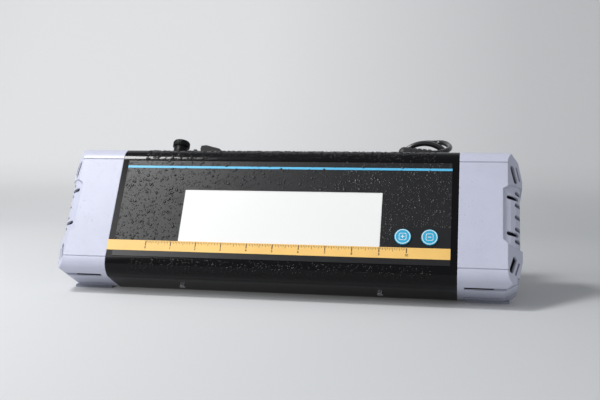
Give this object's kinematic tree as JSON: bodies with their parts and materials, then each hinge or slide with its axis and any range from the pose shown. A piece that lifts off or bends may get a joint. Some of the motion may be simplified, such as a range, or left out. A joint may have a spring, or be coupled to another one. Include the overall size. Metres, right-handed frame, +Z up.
{
  "type": "x-ray film viewer",
  "caption": "X-ray film viewer with a lit window, inch ruler, plus and minus keys, vented end caps, fuse cap, rocker switch, folding rear leg and bundled cord",
  "frame": {"origin": "middle of the footprint on the table, under the housing", "axes": "+Z up, +X along the ruler to the viewer's right, +Y from the lit face towards the back"},
  "size_m": [0.457, 0.1492, 0.1516],
  "materials": {
    "black_gloss": "glossy",
    "housing_black": "glossy",
    "panel_black": "glossy",
    "cap_grey": "satin",
    "window_white": "glossy",
    "stripe_blue": "glossy",
    "ruler_yellow": "glossy",
    "key_blue": "glossy",
    "black_matte": "matte",
    "leg_black": "satin",
    "rubber": "matte",
    "screw_steel": "satin",
    "aluminium": "satin",
    "board_green": "matte",
    "board_white": "matte",
    "led_yellow": "glossy",
    "winding_yellow": "matte",
    "brass": "satin",
    "glass": "clear"
  },
  "bodies": {
    "root": {"housing": "housing_black", "end_cap_left": "cap_grey", "end_cap_right": "cap_grey", "cap_screws": "screw_steel", "front_panel": "panel_black", "blue_stripe": "stripe_blue", "ruler_strip": "ruler_yellow", "window_pane": "window_white", "window_gasket": "rubber", "light_box": "board_white", "led_board": "board_white", "led_chips": "led_yellow", "heat_sink": "aluminium", "driver_board": "board_green", "transformer": "winding_yellow", "capacitors": "black_gloss", "key_board": "board_green", "key_switches": "black_matte", "key_posts": "brass", "rocker_bezel": "black_gloss", "rocker_pin": "screw_steel", "fuse_holder": "black_gloss", "fuse_nut": "aluminium", "fuse": "glass", "strain_relief": "black_matte", "relief_nut": "aluminium", "fan_frame_left": "black_matte", "fan_frame_right": "black_matte", "bottom_screws": "screw_steel", "leg_brackets": "leg_black", "bracket_screws": "screw_steel", "leg_pins": "screw_steel", "foot_pad_left": "rubber", "foot_pad_right": "rubber", "cord_lead": "black_gloss", "cord_hank": "black_gloss", "cord_tail": "black_gloss", "cord_tie": "black_matte", "mains_plug": "black_matte", "plug_blades": "brass"},
    "plus_key": {"plus_key": "key_blue"},
    "minus_key": {"minus_key": "key_blue"},
    "rocker": {"rocker": "black_gloss"},
    "fuse_cap": {"fuse_cap": "black_gloss"},
    "fan_rotor_left": {"fan_rotor_left": "black_matte"},
    "fan_rotor_right": {"fan_rotor_right": "black_matte"},
    "leg": {"leg": "leg_black", "leg_foot": "rubber"}
  },
  "joints": [
    {"name": "plus_press", "type": "slide", "parent": "root", "child": "plus_key", "axis": [0, 0.8797, -0.4756], "range_m": [0, 0.0006], "stiffness_N_per_m": 800},
    {"name": "minus_press", "type": "slide", "parent": "root", "child": "minus_key", "axis": [0, 0.8797, -0.4756], "range_m": [0, 0.0006], "stiffness_N_per_m": 800},
    {"name": "rocker_tilt", "type": "hinge", "parent": "root", "child": "rocker", "pos_m": [-0.0864, 0.01287, 0.13119], "axis": [0, -0.8797, 0.4756], "range_deg": [0, 30]},
    {"name": "fuse_turn", "type": "hinge", "parent": "root", "child": "fuse_cap", "pos_m": [-0.1224, 0.01287, 0.13119], "axis": [0, 0.4756, 0.8797], "range_deg": [0, 90]},
    {"name": "left_fan_turn", "type": "hinge", "parent": "root", "child": "fan_rotor_left", "pos_m": [-0.1525, -0.02007, 0.07028], "axis": [1, 0, 0], "continuous": true},
    {"name": "right_fan_turn", "type": "hinge", "parent": "root", "child": "fan_rotor_right", "pos_m": [0.1525, -0.02007, 0.07028], "axis": [1, 0, 0], "continuous": true},
    {"name": "leg_fold", "type": "hinge", "parent": "root", "child": "leg", "pos_m": [0, 0.02553, 0.07262], "axis": [-1, 0, 0], "range_deg": [0, 60]}
  ]
}
